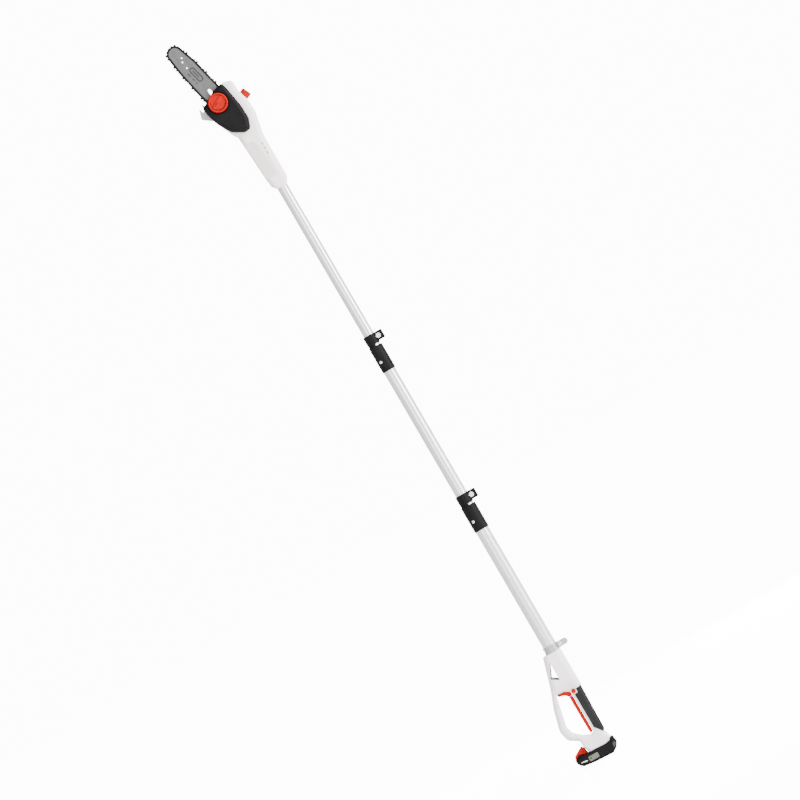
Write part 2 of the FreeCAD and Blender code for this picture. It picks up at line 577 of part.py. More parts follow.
RIVETS_ABOVE_BAR = 3.9
NOSE, SHOULDER = (-73, 2131.5, 17.1), (-60.5, 2080, 22.4)
BELLY, TAIL = (-42, 1998, 23.2), (-34, 1954, 15)


def belt(circles):
    """Closed wire of outer tangents and arcs that runs anticlockwise round (x, z, radius) circles."""
    tangents = []
    for (x1, z1, r1), (x2, z2, r2) in zip(circles, circles[1:] + circles[:1]):
        along, gap = math.atan2(z2 - z1, x2 - x1), math.hypot(x2 - x1, z2 - z1)
        angle = along - math.acos((r1 - r2) / gap)
        out = V(math.cos(angle), 0, math.sin(angle))
        tangents.append((V(x1, 0, z1) + out * r1, V(x2, 0, z2) + out * r2, angle))
    edges = []
    for index, (start, end, angle) in enumerate(tangents):
        edges.append(Part.makeLine(start, end))
        centre_x, centre_z, radius = circles[(index + 1) % len(circles)]
        leaving = tangents[(index + 1) % len(circles)]
        swept = (leaving[2] - angle) % (2 * math.pi)
        if swept > 1e-3 and (leaving[0] - end).Length > 1e-3:
            mid = angle + swept / 2
            middle = V(centre_x, 0, centre_z) + V(math.cos(mid), 0, math.sin(mid)) * radius
            edges.append(Part.Arc(end, middle, leaving[0]).toShape())
    return Part.Wire(edges)


def grown(circles, extra):
    return [(x, z, radius + extra) for x, z, radius in circles]


def plate(wire, low, high):
    return Part.Face(wire).translated(V(0, low, 0)).extrude(V(0, high - low, 0))


def make_guide_bar():
    outer, inner = size("bar_outer"), size("bar_inner")
    groove = 0.75
    profile = [NOSE, SHOULDER, BELLY, TAIL, BELLY, SHOULDER]
    slot = plate(belt([(KNOB_X - 3.5, 1998, 4.1), (KNOB_X + 1, 1944, 4.1)]), -40, -10)
    holes = [rod(1.6, V(x, -40, z), V(x, -10, z)) for x, z in ((-62, 2113), (-66, 2102), (-63, 2082))]
    sides = []
    for low, high in ((outer, CHAIN_Y - groove), (CHAIN_Y + groove, inner)):
        sides.append(plate(belt(profile), low, high).cut([slot] + holes))
    group("bar_side_plates", sides)
    core = plate(belt(grown(profile, -5.5)), CHAIN_Y - groove, CHAIN_Y + groove)
    group("bar_core", [core.cut([slot] + holes)])


def link_shape(points, start, end, low, high):
    """A flat link: its outline is drawn along the chord, with up pointing away from the bar."""
    wire = Part.makePolygon([V(a, 0, b) for a, b in points + points[:1]])
    shape = plate(wire, low, high)
    along = (end - start).normalize()
    out = Y_AXIS.cross(along)
    shape.Placement = FreeCAD.Placement(start, FreeCAD.Rotation(along, -Y_AXIS, out, "XZY"))
    return shape


def chain_rivet_line():
    """Rivet centres round the bar and the sprocket, in the direction that the chain runs."""
    nose, shoulder, belly = grown([NOSE, SHOULDER, BELLY], RIVETS_ABOVE_BAR)
    sprocket = (SHAFT_X, SHAFT_Z, sprocket_pitch_r())
    line = belt([nose, shoulder, belly, sprocket, belly, shoulder])
    count = 4 * round(line.Length / size("chain_pitch") / 4)
    return line.discretize(Number=count + 1)[:-1], line.Length / count


def make_chain():
    """Drive links alternate with strap pairs; every other strap pair carries a cutter.

    Links on the sprocket have short tangs, so that it can turn inside the fixed loop.
    """
    rivets, gap = chain_rivet_line()
    count = len(rivets)
    strap = [(-2.8, -3.2), (gap + 2.8, -3.2), (gap + 3.4, 0), (gap + 2.4, 2.7), (-2.4, 2.7), (-3.4, 0)]
    drive = [(-3.2, -1), (-2.6, -3.2), (gap / 2 - 2.6, -3.4), (gap / 2 - 1, -7.4), (gap / 2 + 1, -7.4),
             (gap / 2 + 2.6, -3.4), (gap + 2.6, -3.2), (gap + 3.2, -1), (gap + 2.4, 2.6), (-2.4, 2.6)]
    cutter = [(-2.8, -3.2), (gap + 2.8, -3.2), (gap + 3.4, 1), (gap + 2.6, 4.8), (gap - 1, 5.3),
              (gap - 2.4, 2.6), (3.6, 2.6), (3.2, 6.6), (-3.4, 5.4), (-3.4, 2)]
    roof = [(3.2, 5.5), (3.2, 6.6), (-3.4, 5.4), (-3.4, 4.3)]
    drives, straps, cutters, pins = [], [], [], []
    for index, start in enumerate(rivets):
        end = rivets[(index + 1) % count]
        pins.append(rod(1.1, start + V(0, CHAIN_Y - 2.3, 0), start + V(0, CHAIN_Y + 2.3, 0)))
        start, end = start + V(0, CHAIN_Y, 0), end + V(0, CHAIN_Y, 0)
        if index % 2 == 0:
            drives.append(link_shape(drive, start, end, -0.6, 0.6))
            continue
        near, far = (-1.9, -0.65), (0.65, 1.9)
        if index % 4 == 1:
            straps += [link_shape(strap, start, end, *near), link_shape(strap, start, end, *far)]
            continue
        side, other = (near, far) if index % 8 == 3 else (far, near)
        straps.append(link_shape(strap, start, end, *other))
        over = (-3.2, -0.65) if side == near else (0.65, 3.2)
        cutters.append(link_shape(cutter, start, end, *side).fuse(
            link_shape(roof, start, end, *over)))
    group("chain_rivets", pins)
    sweep = rod(sprocket_pitch_r() - 1, V(SHAFT_X, CHAIN_Y - 3, SHAFT_Z), V(SHAFT_X, CHAIN_Y + 3, SHAFT_Z))
    group("chain_drive_links", [link.cut(pins_near(link, pins) + [sweep]) for link in drives])
    group("chain_tie_straps", [link.cut(pins_near(link, pins)) for link in straps])
    group("chain_cutters", [link.cut(pins_near(link, pins)) for link in cutters])


def pins_near(link, pins):
    return [pin for pin in pins if pin.BoundBox.intersect(link.BoundBox)]


def make_cover():
    cover = new_body("sprocket_cover")
    face = size("cover_face")
    across_y(cover, [outline(COVER_OUTLINE)], "dims.cover_face", "-dims.head_left - 0.1")
    inner = [(-77, 1958, 4), (-58, 1972, 20), (-32, 1987, 20), (-5, 1995, 3), (-1, 1984, 20),
             (10, 1924, 30), (12.2, 1880, 28), (2, 1854.5, 5), (-13, 1852.6, 8), (-45, 1871, 17),
             (-67, 1909, 37), (-76, 1940, 17)]
    across_y(cover, [outline(inner)], face + 3, -21, True)
    across_y(cover, [outline([(-79, 1950, 0), (-79, 1985, 0), (-4, 2012, 0), (-4, 1980, 0)])],
             -34, -21, True)
    across_y(cover, [circle(KNOB_X, KNOB_Z, 14)], face + 1, -30, False)
    across_y(cover, [circle(KNOB_X, KNOB_Z, 10.4)], face - 1, -29, True)
    knob = new_body("cover_knob")
    across_y(knob, [circle(KNOB_X, KNOB_Z, "dims.knob_r")], "dims.knob_face", face - 0.4)
    across_y(knob, [circle(KNOB_X, KNOB_Z, "dims.knob_r - 3"), circle(KNOB_X, KNOB_Z, 10)],
             "dims.knob_face - 1", "dims.knob_face + 3", True)
    across_y(knob, [circle(KNOB_X, KNOB_Z, 10)], face - 1, -33)
    across_y(knob, [outline([(-41.5, 1932, 3), (-33.5, 1932, 3), (-33.5, 1980, 3), (-41.5, 1980, 3)])],
             "dims.knob_face", "dims.knob_face + 3.2")
    across_y(knob, [circle(KNOB_X, KNOB_Z, "dims.stud_r + 0.05")], face - 6, -32, True)
    stud = new_body("bar_stud")
    across_y(stud, [circle(KNOB_X, KNOB_Z, "dims.stud_r")], -51, -8)


# ---------------------------------------------------------------- build, check and write

make_tubes()
make_lock("lower", 22, "lower", "middle", 23.5)
make_lock("upper", 20, "middle", "upper", 22)
make_pole_clamp()
make_handle_half("handle_shell_left", True)
make_handle_half("handle_shell_right", False)
make_grip_parts()
make_trigger_parts()
make_battery()
make_head_half("head_shell_left", True)
make_head_half("head_shell_right", False)
make_head_fittings()
make_drive()
make_guide_bar()
make_chain()
make_cover()
doc.recompute()

for item in doc.Objects:
    if {"Invalid", "Error"} & set(item.State):
        raise SystemExit(f"{item.Label} failed: {item.State}")
for pocket in pockets:
    if pocket.Shape.Volume > pocket.BaseFeature.Shape.Volume - 1e-3:
        raise SystemExit(f"{pocket.Label} cuts nothing")
os.makedirs("parts", exist_ok=True)
for label, item in nodes.items():
    shape = item.Shape
    if shape.isNull() or not shape.isValid():
        raise SystemExit(f"{label} has no valid shape")
    shape.exportStep(f"parts/{label}.step")
print(len(nodes), "nodes written")
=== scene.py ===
"""Looks of the telescoping pole saw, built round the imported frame.

The frame is in metres. Outlines here are in millimetres, across x and up z, and +Y is the far side.
"""
import json
import math

import bmesh
import bpy
import numpy as np
from mathutils import Matrix, Vector, geometry


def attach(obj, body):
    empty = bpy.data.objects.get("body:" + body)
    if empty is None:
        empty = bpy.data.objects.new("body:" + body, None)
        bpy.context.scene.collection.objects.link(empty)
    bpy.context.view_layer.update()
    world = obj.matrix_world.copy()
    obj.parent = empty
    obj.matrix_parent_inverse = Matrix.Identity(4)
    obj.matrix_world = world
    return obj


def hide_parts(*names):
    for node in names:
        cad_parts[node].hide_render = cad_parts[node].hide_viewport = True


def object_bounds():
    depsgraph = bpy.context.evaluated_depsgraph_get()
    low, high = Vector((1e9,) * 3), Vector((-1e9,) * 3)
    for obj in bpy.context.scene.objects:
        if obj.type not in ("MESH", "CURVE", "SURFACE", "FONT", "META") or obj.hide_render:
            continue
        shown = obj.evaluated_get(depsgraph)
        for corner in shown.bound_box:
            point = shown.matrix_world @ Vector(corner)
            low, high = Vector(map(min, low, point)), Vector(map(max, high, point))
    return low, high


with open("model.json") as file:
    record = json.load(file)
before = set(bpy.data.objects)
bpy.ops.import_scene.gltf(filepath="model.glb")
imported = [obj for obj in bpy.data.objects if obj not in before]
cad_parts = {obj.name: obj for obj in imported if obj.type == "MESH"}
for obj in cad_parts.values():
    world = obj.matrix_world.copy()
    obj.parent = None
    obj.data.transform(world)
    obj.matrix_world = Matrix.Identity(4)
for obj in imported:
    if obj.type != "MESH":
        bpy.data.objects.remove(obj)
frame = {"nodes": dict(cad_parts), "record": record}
cad_low, cad_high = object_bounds()
MM = 0.001


# ---------------------------------------------------------------- materials

ROUGHNESS_SWING = 0.12   # how far the slow patches move the roughness either way


def grainy(name, colour, roughness, metallic=0.0, grain=900, bump=0.12, stretch=(1, 1, 1),
           shift=0.08, patch=14, shine=0.5):
    """A procedural finish: fine grain in the normal, slow patches in colour and roughness."""
    mat = bpy.data.materials.new(name)
    mat.use_nodes = True
    nodes, links = mat.node_tree.nodes, mat.node_tree.links
    shader = nodes["Principled BSDF"]
    shader.inputs["Metallic"].default_value = metallic
    shader.inputs["Specular IOR Level"].default_value = shine
    where = nodes.new("ShaderNodeTexCoord")
    mapping = nodes.new("ShaderNodeMapping")
    mapping.inputs["Scale"].default_value = stretch
    links.new(where.outputs["Object"], mapping.inputs["Vector"])

    def noise(scale, detail):
        node = nodes.new("ShaderNodeTexNoise")
        node.inputs["Scale"].default_value = scale
        node.inputs["Detail"].default_value = detail
        links.new(mapping.outputs["Vector"], node.inputs["Vector"])
        return node.outputs["Fac"]

    fine, slow = noise(grain, 4), noise(patch, 5)
    bumper = nodes.new("ShaderNodeBump")
    bumper.inputs["Strength"].default_value = bump
    bumper.inputs["Distance"].default_value = 0.0004
    links.new(fine, bumper.inputs["Height"])
    links.new(bumper.outputs["Normal"], shader.inputs["Normal"])
    rough = nodes.new("ShaderNodeMapRange")
    rough.inputs["To Min"].default_value = max(0.05, roughness - ROUGHNESS_SWING)
    rough.inputs["To Max"].default_value = min(1.0, roughness + ROUGHNESS_SWING)
    links.new(slow, rough.inputs["Value"])
    links.new(rough.outputs["Result"], shader.inputs["Roughness"])
    ramp = nodes.new("ShaderNodeValToRGB")
    ramp.color_ramp.elements[0].position = 0.3
    ramp.color_ramp.elements[1].position = 0.7
    ramp.color_ramp.elements[0].color = (*[c * (1 - shift) for c in colour], 1)
    ramp.color_ramp.elements[1].color = (*[min(1, c * (1 + shift)) for c in colour], 1)
    links.new(slow, ramp.inputs["Fac"])
    links.new(ramp.outputs["Color"], shader.inputs["Base Color"])
    return mat


MATERIALS = {
    "housing": grainy("white_moulding", (0.74, 0.692, 0.677), 0.45, grain=1500, bump=0.10, shift=0.03,
                      shine=0.4),
    "black_plastic": grainy("black_moulding", (0.0038, 0.0035, 0.0039), 0.5, grain=1300, bump=0.2,
                            shift=0.3, shine=0.07),
    "soft_grip": grainy("grip_rubber", (0.0075, 0.0073, 0.008), 0.65, grain=700, bump=0.5, shift=0.3,
                        shine=0.15),
    "orange_plastic": grainy("orange_moulding", (0.285, 0.0022, 0.0002), 0.45, grain=1200, bump=0.08,
                             shift=0.1, shine=0.04),
    "tube_aluminium": grainy("satin_aluminium", (0.66, 0.66, 0.665), 0.30, metallic=0.75, grain=260,
                             bump=0.05, stretch=(14, 14, 0.25), shift=0.04, patch=5),
    "clamp_metal": grainy("cast_metal", (0.33, 0.34, 0.36), 0.34, metallic=0.7, grain=900, bump=0.15,
                          shift=0.15),
    "bright_steel": grainy("plated_steel", (0.62, 0.62, 0.63), 0.26, metallic=0.9, grain=800, bump=0.08),
    "bar_steel": grainy("ground_bar", (0.085, 0.0835, 0.085), 0.5, metallic=0.2, grain=500, bump=0.15,
                        stretch=(6, 6, 0.4), shift=0.12, shine=0.1),
    "chain_steel": grainy("oiled_steel", (0.009, 0.009, 0.0095), 0.45, metallic=0.3, grain=900,
                          bump=0.15, shift=0.4, shine=0.08),
    "gauge_panel": grainy("gauge_gloss", (0.098, 0.102, 0.084), 0.3, grain=600, bump=0.03, shift=0.05,
                          shine=0.1),
    "cells": grainy("cell_sleeve", (0.02, 0.07, 0.18), 0.3, grain=700, bump=0.05),
    "tank": grainy("tank_plastic", (0.55, 0.55, 0.51), 0.45, grain=500, bump=0.1),
    "hook": grainy("grey_moulding", (0.33, 0.32, 0.325), 0.45, grain=1200, bump=0.12, shift=0.1,
                   shine=0.15),
}
WHITE_INK = grainy("pale_print", (0.60, 0.58, 0.57), 0.5, grain=900, bump=0.05)
DARK_INK = grainy("dark_print", (0.02, 0.02, 0.02), 0.5, grain=900, bump=0.05, shine=0.2)
# Grey print for the head's level marks, also used as painted shade on the strap hole's inner walls.
GREY_INK_AND_SHADE = grainy("grey_print_and_painted_shade", (0.12, 0.115, 0.11), 0.5, grain=900, bump=0.05)
ROSE_WHITE = grainy("rose_moulding", (0.60, 0.54, 0.525), 0.5, grain=1500, bump=0.12, shift=0.04,
                    shine=0.3)
# A paler black, used for a patch on the near face of the battery's +X end.
PALER_BLACK = grainy("paler_black", (0.030, 0.029, 0.031), 0.55, grain=1100, bump=0.3, shift=0.3,
                    shine=0.2)
# Dark orange painted shade for the knob's rim crescent and finger slot.
SHADOW_ORANGE = grainy("painted_shade_orange", (0.08, 0.0015, 0.0003), 0.5, grain=900, bump=0.1, shine=0.2)
EDGED_NODES = {  # small rounded edges, in millimetres
    "lower_lock_collar": 0.8, "upper_lock_collar": 0.8, "lower_lock_lever": 1.0,
    "upper_lock_lever": 1.0, "pole_clamp_collar": 0.6, "pole_clamp_lever": 1.6, "lower_lock_bolt": 0.4,
    "upper_lock_bolt": 0.4, "pole_clamp_bolt": 0.4, "oil_cap": 0.5, "trigger": 1.2,
    "hand_guard_trim": 1.2, "battery_latch": 1.4, "branch_hook": 0.9, "gauge_panel": 0.3,
    "lock_off_button": 0.9, "gauge_button": 0.3,
}


DARKER_NODES = {  # drawn in a darker finish than their own slot's
    "chain_rivets": "chain_steel", "gauge_button": "black_plastic"}


def dress_cad_nodes():
    slots = {part["node"]: part["material_slot"] for part in frame["record"]["subparts"]}
    slots.update(DARKER_NODES)
    for name, piece in frame["nodes"].items():
        finish = MATERIALS[slots[name]]
        if not piece.material_slots:
            piece.data.materials.append(finish)
        for slot in piece.material_slots:
            slot.material = finish
        if name in EDGED_NODES:
            bevel = piece.modifiers.new("edges", "BEVEL")
            bevel.width = EDGED_NODES[name] * MM
            bevel.segments = 3
            bevel.limit_method = "ANGLE"
            bevel.angle_limit = math.radians(40)
            bevel.harden_normals = True


# ---------------------------------------------------------------- moulded shells

def corner_cut(last, here, after, radius):
    """Directions back and ahead of a corner, its half angle, and how far its round cuts each side."""
    back, ahead = (last - here) / np.linalg.norm(last - here), (after - here) / np.linalg.norm(after - here)
    half = math.acos(max(-1, min(1, float(back @ ahead)))) / 2
    return back, ahead, half, radius / math.tan(half) if radius and half < 1.55 else 0


def trace(corners, step=2.0):
    """Samples round an outline as rows of x, z, edge radius and seam height.

    Each corner is (x, z, corner radius, edge radius, seam height); the last two hold until the next.
    """
    rows = []
    count = len(corners)
    spots = [np.array(corner[:2], float) for corner in corners]
    for index, (x, z, radius, edge, seam) in enumerate(corners):
        here, after = spots[index], spots[(index + 1) % count]
        back, ahead, half, trim = corner_cut(spots[index - 1], here, after, radius)
        if trim:
            inward = (back + ahead) / np.linalg.norm(back + ahead)
            centre = here + inward * radius / math.sin(half)
            first, final = here + back * trim - centre, here + ahead * trim - centre
            turn = math.atan2(first[0] * final[1] - first[1] * final[0], float(first @ final))
            pieces = max(3, math.ceil(abs(turn) * radius / step))
            for k in range(pieces + 1):
                angle = turn * k / pieces
                c, s = math.cos(angle), math.sin(angle)
                spot = centre + np.array([c * first[0] - s * first[1], s * first[0] + c * first[1]])
                source = corners[index - 1] if k < pieces / 2 else corners[index]
                rows.append([*spot, source[3], source[4]])
        else:
            rows.append([x, z, edge, seam])
        start = np.array(rows[-1][:2])
        next_radius = corners[(index + 1) % count][2]
        next_back, _, _, next_trim = corner_cut(here, after, spots[(index + 2) % count], next_radius)
        stop = after + next_back * next_trim
        steps = int(np.linalg.norm(stop - start) // step)
        for k in range(1, steps + (1 if next_trim else 0)):
            rows.append([*(start + (stop - start) * k / (steps + 1)), edge, seam])
    return np.array(rows)


def inside(points, loops):
    """Which points lie inside the loops, by counting crossings."""
    within = np.zeros(len(points), bool)
    for loop in loops:
        a, b = loop[:, :2], np.roll(loop[:, :2], -1, axis=0)
        for (x1, z1), (x2, z2) in zip(a, b):
            if z1 == z2:
                continue
            crosses = (points[:, 1] > min(z1, z2)) & (points[:, 1] <= max(z1, z2))
            across = x1 + (points[:, 1] - z1) / (z2 - z1) * (x2 - x1)
            within ^= crosses & (points[:, 0] < across)
    return within


def shell_heights(points, samples, thickness):
    """Height of a moulded surface: a wall at the outline, then a round edge up to the thickness."""
    edge, seam = samples[:, 2], samples[:, 3]
    wall = np.maximum(seam, thickness(samples[:, :2]) - edge)
    best = np.full(len(points), np.inf)
    full = thickness(points)
    for begin in range(0, len(points), 2000):
        part = slice(begin, begin + 2000)
        gap = np.linalg.norm(points[part, None, :] - samples[None, :, :2], axis=2)
        reach = np.clip(gap / edge, 0, 1)
        height = wall + (full[part, None] - wall) * np.sqrt(1 - (1 - reach) ** 2)
        best[part] = height.min(axis=1)
    return best, wall


def moulded(name, outer, holes, thickness, side, base=0.0, grid=2.6, skin=2.2, step=2.0):
    """A moulded half shell with rounded edges. side is -1 for the near half and 1 for the far half."""
    loops = [trace(outer, step)] + [trace(hole, step) for hole in holes]
    samples = np.vstack(loops)
    inner_rings = []
    for loop in loops:
        ahead = np.roll(loop[:, :2], -1, axis=0) - np.roll(loop[:, :2], 1, axis=0)
        normal = np.stack([-ahead[:, 1], ahead[:, 0]], axis=1)
        normal /= np.linalg.norm(normal, axis=1)[:, None] + 1e-9
        probe = loop[:, :2] + normal * 0.05
        normal[~inside(probe, loops)] *= -1
        for angle in (18, 36, 54, 72):
            inner_rings.append(loop[:, :2] + normal * (loop[:, 2:3] * (1 - math.cos(math.radians(angle)))))
    low, high = samples[:, :2].min(0), samples[:, :2].max(0)
    gx, gz = np.meshgrid(np.arange(low[0], high[0], grid), np.arange(low[1], high[1], grid))
    extra = np.vstack(inner_rings + [np.stack([gx.ravel(), gz.ravel()], axis=1)])
    extra = extra[inside(extra, loops)]
    kept, seen = [], set()
    for spot in extra:
        if np.min(np.sum((samples[:, :2] - spot) ** 2, axis=1)) < 0.2 ** 2:
            continue
        key = (round(spot[0] / 0.7), round(spot[1] / 0.7))
        if key not in seen:
            seen.add(key)
            kept.append(spot)
    points = np.vstack([samples[:, :2], np.array(kept)])
    edges, offset = [], 0
    for loop in loops:
        edges += [(offset + i, offset + (i + 1) % len(loop)) for i in range(len(loop))]
        offset += len(loop)
    result = geometry.delaunay_2d_cdt([Vector(p) for p in points], edges, [], 0, 1e-6)
    spots = np.array([[v.x, v.y] for v in result[0]])
    faces = np.array([f[:3] for f in result[2]])
    faces = faces[inside(spots[faces].mean(axis=1), loops)]
    height, wall = shell_heights(spots, samples, thickness)
    mesh = bmesh.new()
    top = [mesh.verts.new((x * MM, (base + side * h) * MM, z * MM)) for (x, z), h in zip(spots, height)]
    for a, b, c in faces:
        if top[a] is not top[b] and top[b] is not top[c] and top[a] is not top[c]:
            mesh.faces.new((top[a], top[b], top[c]))
    order = {}
    for index, origins in enumerate(result[3]):
        for origin in origins:
            order[origin] = index
    seams = {}
    for first, second in edges:
        a, b = order.get(first), order.get(second)
        if a is None or b is None or a == b:
            continue
        for corner, source in ((a, first), (b, second)):
            if corner not in seams:
                drop = samples[source, 3]
                x, z = spots[corner]
                seams[corner] = mesh.verts.new((x * MM, (base + side * drop) * MM, z * MM))
        mesh.faces.new((top[a], top[b], seams[b], seams[a]))
    bmesh.ops.remove_doubles(mesh, verts=mesh.verts, dist=2e-6)
    bmesh.ops.dissolve_degenerate(mesh, dist=1e-6, edges=mesh.edges)
    bmesh.ops.recalc_face_normals(mesh, faces=mesh.faces)
    middle = max(mesh.faces, key=lambda face: side * face.calc_center_median().y)
    if middle.normal.y * side < 0:
        bmesh.ops.reverse_faces(mesh, faces=mesh.faces)
    piece = finish_mesh(name, mesh)
    if skin:
        solid = piece.modifiers.new("wall", "SOLIDIFY")
        solid.thickness = skin * MM
        solid.offset = -1
    return piece


def finish_mesh(name, mesh, smooth=True):
    data = bpy.data.meshes.new(name)
    loose = [vert for vert in mesh.verts if not vert.link_faces]
    bmesh.ops.delete(mesh, geom=loose, context="VERTS")
    mesh.to_mesh(data)
    mesh.free()
    data.shade_smooth() if smooth else data.shade_flat()
    piece = bpy.data.objects.new(name, data)
    bpy.context.scene.collection.objects.link(piece)
    return piece


def join(name, pieces):
    """Welds pieces that meet at a seam into one mesh."""
    mesh = bmesh.new()
    for piece in pieces:
        mesh.from_mesh(piece.data)
        data = piece.data
        bpy.data.objects.remove(piece)
        bpy.data.meshes.remove(data)
    bmesh.ops.remove_doubles(mesh, verts=mesh.verts, dist=2e-5)
    return finish_mesh(name, mesh)


def place(piece, body, slot, finish=None, replaces=()):
    """Gives a piece its finish and its body, and hides the CAD nodes that it stands for."""
    piece.data.materials.append(finish or MATERIALS[slot])
    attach(piece, body)
    if replaces:
        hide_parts(*replaces)
    return piece


def smooth_step(value, start, stop):
    t = np.clip((value - start) / (stop - start), 0, 1)
    return t * t * (3 - 2 * t)


def sharp_edges(piece, degrees=35):
    """Keeps crisp lines where a moulded surface turns sharply."""
    modifier = piece.modifiers.new("weighted", "WEIGHTED_NORMAL")
    modifier.keep_sharp = True
    piece.data.set_sharp_from_angle(angle=math.radians(degrees))


# ---------------------------------------------------------------- handle

SEAM = 0.15
HANDLE_OUTER = [
    (-33, 190, 6, 5, SEAM), (22, 190, 6, 20, SEAM), (22, 73, 0, 2, SEAM), (17.2, 73, 0, 8, SEAM),
    (14.2, -64, 0, 2, SEAM), (12, -71, 0, 2, SEAM), (16.5, -73, 0, 9, SEAM), (20, -88, 3, 6, SEAM),
    (13, -96, 5, 1, 22.8), (-2, -99.4, 0, 1, 22.8), (-53, -96.6, 2, 8, SEAM), (-60, -78, 8, 8, SEAM),
    (-60, -60, 8, 12, SEAM), (-88, -43, 16, 12, SEAM), (-96, -12, 30, 12, SEAM), (-80, 50, 60, 14, SEAM),
    (-60, 100, 60, 18, SEAM)]
HAND_OPENING = [
    (-53, 82, 3, 6, SEAM), (-30, 80, 8, 6, SEAM), (-14, 71, 10, 3, SEAM), (-14, 61, 0, 4, 9.7),
    (-14, -54.5, 2, 8, SEAM), (-24, -59, 5, 9, SEAM), (-44, -49, 12, 9, SEAM), (-66, -30, 14, 9, SEAM),
    (-72.5, -8, 20, 9, SEAM), (-60, 50, 60, 9, SEAM)]
STRAP_HOLE = [(-23.5, 172, 1.5, 2.5, SEAM), (-45, 127, 2, 2.5, SEAM), (-23.5, 114, 2, 2.5, SEAM)]
HANDLE_SCREWS = [(-83, -12), (-67, 62), (-47, 104), (-26.5, 181), (-6, -62), (-44, -70)]
SCREW_WELL_R = 3.9
LOCK_BUTTON = (-6, 69)


def handle_thickness(points):
    x, z = points[:, 0], points[:, 1]
    trunk = 10.8 * smooth_step(z, 70, 104)
    under_grip = -0.779 * (x + 8) - 0.626 * (z + 45)    # distance below the grip's lower edge
    foot = 15.6 * smooth_step(-z, 56, 80) * smooth_step(under_grip, 0.5, 9)
    waist = 1.2 * smooth_step(z, 150, 188)
    return 14.2 + trunk + foot - waist


def round_hole(centre, radius, degrees, edge, seam):
    """Corners of a round hole, one every so many degrees."""
    x, z = centre
    return [(x + radius * math.cos(a), z + radius * math.sin(a), 0, edge, seam)
            for a in np.radians(np.arange(0, 360, degrees))]


def screw_well(centre, seam):
    """A round hole in a far-side shell; its wall runs down to the screw's head."""
    return round_hole(centre, SCREW_WELL_R, 24, 0.5, seam)


def make_handle():
    for side, name in ((-1, "left"), (1, "right")):
        holes = [HAND_OPENING, STRAP_HOLE]
        if side > 0:
            holes += [screw_well(centre, 10) for centre in HANDLE_SCREWS]
        else:
            holes.append(round_hole(LOCK_BUTTON, 6.4, 20, 0.7, 14))
        shell = moulded(f"handle_housing_{name}", HANDLE_OUTER, holes, handle_thickness, side)
        place(shell, "handle", "housing", replaces=[f"handle_shell_{name}"])


GRIP_OUTLINE = [
    (3, 72.6, 1, 1.5, 14.3), (20, 72.6, 2, 12, 0.0), (17, -60, 6, 9, 0.0), (12.4, -70.4, 1, 2, 14.3),
    (-8, -45, 4, 2, 14.3), (-8, 60, 1, 2, 14.3), (3, 60, 1, 1.5, 14.3)]


def make_soft_grip():
    """Two moulded halves joined into one sleeve round the back of the grip."""
    def thickness(points):
        x, z = points[:, 0], points[:, 1]
        ridges = 0.28 * np.clip(np.sin((z + 0.5 * x) * 2 * math.pi / 5.2) * 2.5, -1, 1)
        field = smooth_step(x, -4, -1) * smooth_step(-z, -62, -56) * smooth_step(z, -50, -42)
        return 16.7 + ridges * field * smooth_step(-x, -15, -11)

    halves = [moulded(f"soft_grip_{side}", GRIP_OUTLINE, [], thickness, side, skin=0, grid=1.3, step=1.5)
              for side in (-1, 1)]
    grip = join("soft_grip_sleeve", halves)
    solid = grip.modifiers.new("wall", "SOLIDIFY")
    solid.thickness = 2.0 * MM
    solid.offset = -1
    place(grip, "handle", "soft_grip", replaces=["soft_grip"])


# ---------------------------------------------------------------- battery

CASE_TOP = [
    (-98.5, -100, 3, 5, 0), (-54, -97.3, 0, 3, 0), (-2, -100.1, 0, 3, 0), (13.4, -96.8, 4, 3, 0),
    (20.8, -88.6, 1, 5, 0), (26, -92, 3, 5, 0), (28, -104, 0, 0.5, 0), (-98.5, -104, 0, 5, 0)]
CASE_BOTTOM = [
    (-98.5, -104, 0, 0.5, 0), (28, -104, 0, 6, 0), (28, -109, 4, 6, 0), (20, -122, 6, 7, 0),
    (5, -132.4, 8, 7, 0), (-50, -129.5, 60, 7, 0), (-86, -124.5, 6, 7, 0), (-97, -112, 5, 6, 0)]
PANEL_HOLE = [(-63.3, -121.8, 3, 0.4, 34), (-33.2, -121.8, 3, 0.4, 34), (-33.2, -107.2, 3, 0.4, 34),
              (-63.3, -107.2, 3, 0.4, 34)]


def make_battery():
    def half_width(points):
        x = points[:, 0]
        return 36 - 1.2 * smooth_step(x, 12, 27) - 1.0 * smooth_step(-x, 88, 98)

    for name, outline, node in (("battery_lid", CASE_TOP, "battery_upper_case"),
                                ("battery_tub", CASE_BOTTOM, "battery_lower_case")):
        sides = []
        for side in (-1, 1):
            holes = [PANEL_HOLE] if side < 0 and name == "battery_tub" else []
            sides.append(moulded(f"{name}_{side}", outline, holes, half_width, side, skin=0, step=1.6))
        case = join(name, sides)
        solid = case.modifiers.new("wall", "SOLIDIFY")
        solid.thickness = 1.8 * MM
        solid.offset = -1
        sharp_edges(case)
        place(case, "battery", "black_plastic", replaces=[node])


# ---------------------------------------------------------------- head

HEAD_OUTER = [
    (-15, 1670, 3, 6, SEAM), (15, 1670, 3, 8, SEAM), (26, 1690, 10, 17, SEAM), (27, 1822, 30, 15, SEAM),
    (40, 1886, 30, 13, SEAM), (38, 1925, 8, 10, SEAM), (28, 1958, 8, 12, SEAM), (27, 1992, 10, 12, SEAM),
    (4, 2000, 6, 8, SEAM), (-30, 1986, 5, 5, SEAM), (-62, 1966, 8, 5, SEAM), (-74, 1936, 8, 5, SEAM),
    (-66, 1904, 20, 5, SEAM), (-48, 1862, 10, 7, SEAM), (-38, 1846, 5, 14, SEAM),
    (-30, 1710, 40, 15, SEAM), (-27, 1684, 8, 8, SEAM)]
HEAD_SCREWS = [(-22, 1696), (19, 1696), (22, 1838), (-32, 1836), (31, 1900), (-60, 1946)]


